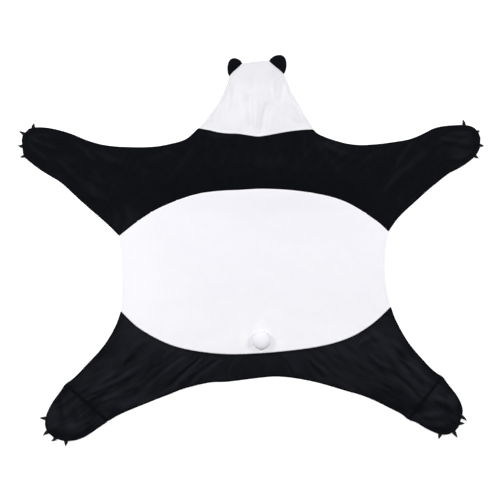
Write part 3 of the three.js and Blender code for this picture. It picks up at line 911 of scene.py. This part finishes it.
def plush_group():
    """Pile of plush cloth: tufts with painted shade at the roots between them, the soft mottle of
    pile pressed aside, and painted highlight and shade.
    """
    name = "Plush nap"
    if name in bpy.data.node_groups:
        return bpy.data.node_groups[name]
    group = bpy.data.node_groups.new(name, "ShaderNodeTree")
    group.interface.new_socket(name="Vector", in_out="INPUT", socket_type="NodeSocketVector")
    for label, kind, default in (
            ("Pile", "NodeSocketColor", (0.8, 0.8, 0.8, 1)),
            ("Roots and Shade", "NodeSocketColor", (0.5, 0.5, 0.5, 1)),
            ("Painted Highlight", "NodeSocketColor", (0.9, 0.9, 0.9, 1)),
            ("Painted Light and Shade", "NodeSocketFloat", 0.0),
            ("Tufts per Metre", "NodeSocketFloat", 420.0),
            ("Mottle", "NodeSocketFloat", 0.5)):
        socket = group.interface.new_socket(name=label, in_out="INPUT", socket_type=kind)
        socket.default_value = default
    for label, kind in (("Colour", "NodeSocketColor"), ("Height", "NodeSocketFloat"),
                        ("Roughness", "NodeSocketFloat")):
        group.interface.new_socket(name=label, in_out="OUTPUT", socket_type=kind)
    into = group.nodes.new("NodeGroupInput").outputs
    vector = into["Vector"]

    def worked(operation, first, second):
        node = add_node(group, "ShaderNodeMath", {0: first, 1: second}, operation=operation)
        return node.outputs[0]

    def stretched(value, low, high):
        return add_node(group, "ShaderNodeMapRange", {
            "Value": value, "From Min": low, "From Max": high}).outputs[0]

    tufts = add_node(group, "ShaderNodeTexVoronoi", {
        "Vector": vector, "Scale": into["Tufts per Metre"]}, feature="SMOOTH_F1")
    hair = noise_mask(group, vector, 1500.0, 2.0)
    spots = stretched(noise_mask(group, vector, 46.0, 4.0, 0.62), 0.36, 0.66)
    patches = stretched(noise_mask(group, vector, 9.0, 2.0), 0.35, 0.65)
    tuft = worked("SUBTRACT", 1.0, tufts.outputs["Distance"])
    height = worked("ADD", worked("MULTIPLY", tuft, 0.7), worked("MULTIPLY", hair, 0.5))
    mottle = worked("ADD", worked("MULTIPLY", spots, 0.65), worked("MULTIPLY", patches, 0.35))
    pile = worked("SUBTRACT", 1.0, worked("MULTIPLY", mottle, into["Mottle"]))
    share = worked("MULTIPLY", pile, worked("ADD", worked("MULTIPLY", height, 0.5), 0.55))
    # Painted shade of the roots between the tufts, then painted highlight and painted shade by the
    # mask
    resting = mixed(group, share, into["Roots and Shade"], into["Pile"])
    lighter = mixed(group, into["Painted Light and Shade"], resting, into["Painted Highlight"])
    darker = mixed(group, worked("MULTIPLY", into["Painted Light and Shade"], -1.0), lighter, into["Roots and Shade"])
    add_node(group, "NodeGroupOutput", {
        "Colour": darker, "Height": height,
        "Roughness": worked("ADD", worked("MULTIPLY", mottle, 0.1), 0.86)})
    return group


def fresh_material(name):
    """A new material, its node tree and its Principled shader."""
    material = bpy.data.materials.new(name)
    material.use_nodes = True
    tree = material.node_tree
    return material, tree, tree.nodes["Principled BSDF"]


def own_place(tree):
    """Coordinates of the piece itself, which its pattern follows."""
    return tree.nodes.new("ShaderNodeTexCoord").outputs["Object"]


def shade(colour, share):
    """A colour made lighter or darker, with its alpha."""
    return (*[share * part for part in colour], 1)


def plush_material(name, pile, roots_and_shade, raised, *, tufts, mottle, depth, sheen, tint, specular):
    """Short plush whose pile reads in its colour, its tufts and a soft sheen."""
    if name in bpy.data.materials:
        return bpy.data.materials[name]
    material, tree, shader = fresh_material(name)
    # The painted light and shade of the pile mixes its colour towards the highlight colour and the
    # shade colour
    shading = add_node(tree, "ShaderNodeAttribute", {}, attribute_name="painted_light_and_shade")
    nap = add_node(tree, "ShaderNodeGroup", {}, node_tree=plush_group())
    feed(tree, nap, {
        "Vector": own_place(tree), "Pile": (*pile, 1), "Roots and Shade": (*roots_and_shade, 1),
        "Painted Highlight": (*raised, 1), "Painted Light and Shade": shading.outputs["Fac"], "Tufts per Metre": tufts,
        "Mottle": mottle})
    feed(tree, shader, {
        "Base Color": nap.outputs["Colour"], "Roughness": nap.outputs["Roughness"],
        "Normal": relief(tree, nap.outputs["Height"], depth, 0.6),
        "Specular IOR Level": specular, "Sheen Weight": sheen, "Sheen Roughness": 0.55,
        "Sheen Tint": (*tint, 1)})
    return material


def cloth_material(finish):
    """The plush of a sheet: black, white, or the hood's white with a longer pile."""
    cloth = bpy.context.scene.blanket_cloth
    if finish == "black":
        return plush_material(
            "black plush", cloth.black, cloth.black_roots_and_shade, cloth.black_painted_highlight, tufts=300,
            mottle=0.6, depth=0.0016, sheen=0.03, tint=(0.75, 0.82, 1.0), specular=0.03)
    if finish == "white":
        return plush_material(
            "white plush", cloth.white, cloth.white_roots_and_shade, cloth.white_painted_highlight, tufts=340,
            mottle=0.18, depth=0.0009, sheen=0.10, tint=(1, 1, 1), specular=0.1)
    return plush_material(
        "hood plush", cloth.hood, cloth.hood_roots_and_shade, cloth.white_painted_highlight, tufts=300,
        mottle=0.26, depth=0.0013, sheen=0.08, tint=(1, 1, 1), specular=0.1)


def claw_material():
    """Dull dark claws with a fine grain."""
    colour = bpy.context.scene.blanket_trim.claw
    material, tree, shader = fresh_material("claw")
    grain = noise_mask(tree, own_place(tree), 700, 3)
    feed(tree, shader, {
        "Base Color": mixed(tree, grain, shade(colour, 0.55), shade(colour, 1.6)),
        "Normal": relief(tree, grain, 0.0004, 0.5),
        "Roughness": 0.55, "Specular IOR Level": 0.12})
    return material


def thread_material(name, colour):
    """Twisted sewing thread."""
    material, tree, shader = fresh_material(name)
    # Darker diagonal bands: painted shade in the grooves of the twist
    twist = add_node(tree, "ShaderNodeTexWave", {"Vector": own_place(tree), "Scale": 900},
                     bands_direction="DIAGONAL")
    feed(tree, shader, {
        "Base Color": mixed(tree, twist.outputs["Fac"], shade(colour, 0.7), shade(colour, 1)),
        "Roughness": 0.7, "Specular IOR Level": 0.2})
    return material


# Filled pieces

def swollen(node, name, material, *, voxel, pressure, swell, overhang, held):
    """A filled piece: its CAD solid remeshed and puffed by its filling, its seat held still."""
    piece = new_object(name, merged_copy(node), material)
    remesh = piece.modifiers.new("Remesh", "REMESH")
    remesh.mode = "VOXEL"
    remesh.voxel_size = voxel
    apply_modifiers(piece)
    start = np.array([vert.co[:] for vert in piece.data.vertices])
    normals = np.array([vert.normal[:] for vert in piece.data.vertices])
    puff = piece.modifiers.new("Cloth", "CLOTH")
    puff.settings.quality = 6
    puff.settings.use_pressure = True
    puff.settings.uniform_pressure_force = pressure
    puff.settings.effector_weights.gravity = 0
    puff.point_cache.frame_end = PUFF_FRAMES
    scene = bpy.context.scene
    for number in range(1, PUFF_FRAMES + 1):
        scene.frame_set(number)
    apply_modifiers(piece)
    scene.frame_set(1)
    # No corner moves inwards, and the pile stands out by the overhang everywhere.
    moved = np.array([vert.co[:] for vert in piece.data.vertices]) - start
    moved += normals * (overhang - np.minimum(0, (moved * normals).sum(axis=1, keepdims=True)))
    far = np.linalg.norm(moved, axis=1, keepdims=True)
    limit = swell * np.array([held(point) for point in start])[:, None]
    moved *= np.minimum(1, limit / np.maximum(far, 1e-9))
    low = start[:, 2].min()
    for vert, place, move in zip(piece.data.vertices, start, moved):
        x, y, z = place + move
        vert.co = (x, y, max(z, low))
    finer = piece.modifiers.new("Subdivision", "SUBSURF")
    finer.levels = finer.render_levels = 1
    apply_modifiers(piece)
    piece.data.shade_smooth()
    return piece


def hold_by(tree, reach):
    """A point may move less, the nearer it is to a sheet's rim."""
    def share(point):
        near = tree.find_nearest(Vector(point))[3]
        return min(1.0, max(0.0, near - 2 * MM) / reach)
    return share


# Operators

class BLANKET_OT_stage(bpy.types.Operator):
    """Make the floor, the lights and the camera that looks straight down"""
    bl_idname = "blanket.stage"
    bl_label = "Stage"

    def execute(self, context):
        stage = context.scene.blanket_stage
        bm = bmesh.new()
        bmesh.ops.create_grid(bm, x_segments=1, y_segments=1, size=FLOOR_HALF)
        bmesh.ops.translate(bm, verts=bm.verts, vec=(0, 0, -FLOOR_GAP))
        material, tree, shader = fresh_material("floor")
        feed(tree, shader, {
            "Base Color": (*stage.floor, 1), "Roughness": 1.0, "Specular IOR Level": 0.0,
            "Emission Color": (1, 1, 1, 1), "Emission Strength": stage.floor_glow})
        floor = new_object("floor", bm, material, smooth=False)

        world = bpy.data.worlds.new("pale surroundings")
        world.use_nodes = True
        feed(world.node_tree, world.node_tree.nodes["Background"], {
            "Color": (1, 1, 1, 1), "Strength": stage.world})
        context.scene.world = world

        for name, place, size, power in (
                ("overhead light", (-0.5, 0.6, 5.2), 4.0, stage.overhead),
                ("left light", (-3.6, 1.7, 2.3), 1.2, stage.side),
                ("right light", (3.6, 1.7, 2.3), 1.2, stage.side)):
            light = bpy.data.lights.new(name, "AREA")
            light.shape = "DISK"
            light.size = size
            light.energy = power
            holder = bpy.data.objects.new(name, light)
            holder.location = place
            holder.rotation_euler = (-Vector(place)).to_track_quat("-Z", "Y").to_euler()
            context.collection.objects.link(holder)

        camera = bpy.data.cameras.new("camera")
        camera.lens = stage.lens
        camera.sensor_width = SENSOR
        camera.clip_end = 100
        holder = bpy.data.objects.new("camera", camera)
        height = stage.seen * stage.lens / SENSOR
        holder.location = (stage.centre_x, stage.centre_y, height)
        context.collection.objects.link(holder)
        context.scene.camera = holder
        context.scene.view_settings.view_transform = "Standard"
        return {"FINISHED"}


class BLANKET_OT_shoulders(bpy.types.Operator):
    """Make the black sheet of the shoulders and forelegs, and the pockets under its paws"""
    bl_idname = "blanket.shoulders"
    bl_label = "Shoulders"

    def execute(self, context):
        make_sheets("shoulders", "fore_pocket_left", "fore_pocket_right")
        return {"FINISHED"}


class BLANKET_OT_body(bpy.types.Operator):
    """Make the white oval sheet of the body"""
    bl_idname = "blanket.body"
    bl_label = "Body"

    def execute(self, context):
        make_sheets("body")
        return {"FINISHED"}


class BLANKET_OT_hips(bpy.types.Operator):
    """Make the black sheet of the hips and hind legs"""
    bl_idname = "blanket.hips"
    bl_label = "Hips"

    def execute(self, context):
        make_sheets("hips")
        return {"FINISHED"}


class BLANKET_OT_paws(bpy.types.Operator):
    """Make the two layers of each hind paw"""
    bl_idname = "blanket.paws"
    bl_label = "Hind paws"

    def execute(self, context):
        make_sheets("hind_paw_left", "hind_paw_right", "hind_pocket_left", "hind_pocket_right")
        return {"FINISHED"}


class BLANKET_OT_hood(bpy.types.Operator):
    """Make the back of the hood and the rim of its face opening under it"""
    bl_idname = "blanket.hood"
    bl_label = "Hood"

    def execute(self, context):
        make_sheets("hood_back", "hood_front")
        return {"FINISHED"}


class BLANKET_OT_ears(bpy.types.Operator):
    """Make the two filled ears"""
    bl_idname = "blanket.ears"
    bl_label = "Ears"

    def execute(self, context):
        trim = context.scene.blanket_trim
        held = hold_by(sheet_plan("hood_back").tree, 18 * MM)
        for side in ("left", "right"):
            piece = swollen(f"ear_{side}", f"ear_{side}_plush", cloth_material("black"),
                            voxel=0.0024, pressure=4.0, swell=trim.ear_swell,
                            overhang=trim.ear_pile, held=held)
            belong(piece, "black_plush", f"ear_{side}")
        return {"FINISHED"}


class BLANKET_OT_tail(bpy.types.Operator):
    """Make the filled tail, a soft ball that lies on the body"""
    bl_idname = "blanket.tail"
    bl_label = "Tail"

    def execute(self, context):
        trim = context.scene.blanket_trim
        low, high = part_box("tail")
        seat = low.z + 8 * MM    # what lies lower is held by the seam on the body

        def held(point):
            return min(1.0, max(0.0, (point[2] - seat) / (15 * MM)))

        piece = swollen("tail", "tail_plush", cloth_material("white"), voxel=0.0028,
                        pressure=4.0, swell=trim.tail_swell, held=held,
                        overhang=context.scene.blanket_cloth.overhang)
        middle = (low + high) / 2
        # Painted light on the tail's low rim, where shade falls under the ball
        raised = piece.data.attributes.new("painted_light_and_shade", "FLOAT", "POINT")
        for vert, painted_rim in zip(piece.data.vertices, raised.data):
            x, y, z = vert.co
            painted_rim.value = 0.9 * float(eased((seat + 6 * MM - z) / (10 * MM)))
            vert.co = (middle.x + trim.tail_width * (x - middle.x),
                       middle.y + trim.tail_width * (y - middle.y) + trim.tail_up,
                       low.z + trim.tail_height * (z - low.z))
        belong(piece, "white_plush", "tail")
        return {"FINISHED"}


def is_pole(vert):
    """A claw's tip or the middle of its root, where all the faces of an end meet."""
    return len(vert.link_edges) == CLAW_SIDES and all(
        len(face.verts) == 3 for face in vert.link_faces)


def ring_width(pole):
    """Width of the ring of corners round a claw's end."""
    ring = [edge.other_vert(pole).co for edge in pole.link_edges]
    return max((a - b).length for a in ring for b in ring)


class BLANKET_OT_claws(bpy.types.Operator):
    """Make the sixteen claws"""
    bl_idname = "blanket.claws"
    bl_label = "Claws"

    def execute(self, context):
        material = claw_material()
        trim = context.scene.blanket_trim
        for node in sorted(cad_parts):
            if not node.startswith("claw_"):
                continue
            bm = merged_copy(node)
            bm.normal_update()
            crease = bm.verts.layers.float.new("crease_vert")
            poles = [vert for vert in bm.verts if is_pole(vert)]
            for vert in set(bm.verts) - set(poles):
                vert.co += trim.claw_fill * vert.normal
            for vert in poles:
                vert[crease] = 1
            tip, root = sorted(poles, key=ring_width)
            tip.co += trim.claw_reach * (tip.co - root.co).normalized()
            for vert in bm.verts:
                vert.co.z = max(vert.co.z, 0)
            piece = new_object(f"{node}_horn", bm, material)
            rounder = piece.modifiers.new("Subdivision", "SUBSURF")
            rounder.levels = rounder.render_levels = 2
            apply_modifiers(piece)
            piece.data.shade_smooth()
            belong(piece, "claw_felt", node)
        return {"FINISHED"}


def free_runs(node):
    """Stretches of a sheet's rim that aren't sewn to another top sheet, point by point."""
    free = free_rim(node)
    rim = sheet_plan(node).rim
    first = int(np.argmin(free))
    runs, run = [], []
    for step in range(len(rim) + 1):
        i = (first + step) % len(rim)
        if free[i]:
            run.append(rim[i])
        elif run:
            runs.append(np.array(run))
            run = []
    return [run for run in runs if len(run) > 3]


def stitch_places(run, inset, pitch):
    """Middle and direction of each stitch of a row that runs along a rim at that inset."""
    gone = np.concatenate([[0], np.linalg.norm(np.diff(run, axis=0), axis=1).cumsum()])
    where = np.arange(pitch, gone[-1] - pitch, pitch)
    line = np.stack([np.interp(where, gone, run[:, 0]), np.interp(where, gone, run[:, 1])], axis=1)
    along = np.gradient(line, axis=0)
    along /= np.linalg.norm(along, axis=1, keepdims=True)
    middle = line + inset * np.stack([-along[:, 1], along[:, 0]], axis=1)
    off = distances(middle[None], run)[0]
    return [(place, way) for place, way, away in zip(middle, along, off) if away > 0.97 * inset]


def stitch_mesh(trim):
    """One stitch that lies along X."""
    bm = bmesh.new()
    bmesh.ops.create_uvsphere(bm, u_segments=8, v_segments=5, radius=1)
    bmesh.ops.scale(bm, verts=bm.verts, vec=(trim.stitch / 2, trim.thread / 2, trim.thread / 2))
    mesh = bpy.data.meshes.new("stitch")
    bm.to_mesh(mesh)
    bm.free()
    return mesh


class BLANKET_OT_stitching(bpy.types.Operator):
    """Sew the row of stitches that holds the hem of each free edge"""
    bl_idname = "blanket.stitching"
    bl_label = "Stitching"

    def execute(self, context):
        cloth, trim = context.scene.blanket_cloth, context.scene.blanket_trim
        stitch = stitch_mesh(trim)
        pitch = trim.stitch + trim.stitch_gap
        rows = {"black": bmesh.new(), "white": bmesh.new()}
        for node in TOP_SHEETS:
            piece = bpy.data.objects[f"{node}_plush"]
            surface = BVHTree.FromObject(piece, context.evaluated_depsgraph_get())
            bm = rows["black" if SHEETS[node].finish == "black" else "white"]
            for run in free_runs(node):
                for (x, y), (run_x, run_y) in stitch_places(run, cloth.hem, pitch):
                    point, normal = surface.ray_cast(Vector((x, y, DROP)), Vector((0, 0, -1)))[:2]
                    if point is None:
                        continue
                    along = Vector((run_x, run_y, 0))
                    along = (along - along.dot(normal) * normal).normalized()
                    turn = Matrix((along, normal.cross(along), normal)).transposed().to_4x4()
                    sewn = stitch.copy()
                    sewn.transform(Matrix.Translation(point + 0.2 * trim.thread * normal) @ turn)
                    bm.from_mesh(sewn)
                    bpy.data.meshes.remove(sewn)
        bpy.data.meshes.remove(stitch)
        for colour, bm in rows.items():
            if not bm.verts:
                raise RuntimeError(f"no {colour} stitches were made")
            tint = trim.thread_black if colour == "black" else trim.thread_white
            material = thread_material(f"{colour} thread", tint)
            belong(new_object(f"stitches_{colour}", bm, material), f"{colour}_plush")
        return {"FINISHED"}


CLASSES = (
    ClothSettings, TrimSettings, StageSettings,
    BLANKET_OT_stage, BLANKET_OT_shoulders, BLANKET_OT_body, BLANKET_OT_hips, BLANKET_OT_paws,
    BLANKET_OT_hood, BLANKET_OT_ears, BLANKET_OT_tail, BLANKET_OT_claws, BLANKET_OT_stitching,
)
STEPS = ("stage", "shoulders", "body", "hips", "paws", "hood", "ears", "tail", "claws",
         "stitching")


class BLANKET_PT_panel(bpy.types.Panel):
    """Lists the blanket's pieces and their sizes"""
    bl_idname = "BLANKET_PT_panel"
    bl_label = "Hooded blanket"
    bl_space_type = "VIEW_3D"
    bl_region_type = "UI"
    bl_category = "Blanket"

    def draw(self, context):
        for settings in (context.scene.blanket_cloth, context.scene.blanket_trim,
                         context.scene.blanket_stage):
            box = self.layout.box()
            for name in settings.bl_rna.properties.keys():
                if name not in ("rna_type", "name"):
                    box.prop(settings, name)
        for step in STEPS:
            self.layout.operator(f"blanket.{step}")


def register():
    for cls in (*CLASSES, BLANKET_PT_panel):
        bpy.utils.register_class(cls)
    bpy.types.Scene.blanket_cloth = PointerProperty(type=ClothSettings)
    bpy.types.Scene.blanket_trim = PointerProperty(type=TrimSettings)
    bpy.types.Scene.blanket_stage = PointerProperty(type=StageSettings)


def unregister():
    del bpy.types.Scene.blanket_stage
    del bpy.types.Scene.blanket_trim
    del bpy.types.Scene.blanket_cloth
    for cls in reversed((*CLASSES, BLANKET_PT_panel)):
        bpy.utils.unregister_class(cls)


def main():
    register()
    for step in STEPS:
        getattr(bpy.ops.blanket, step)()


if __name__ == "__main__":
    main()
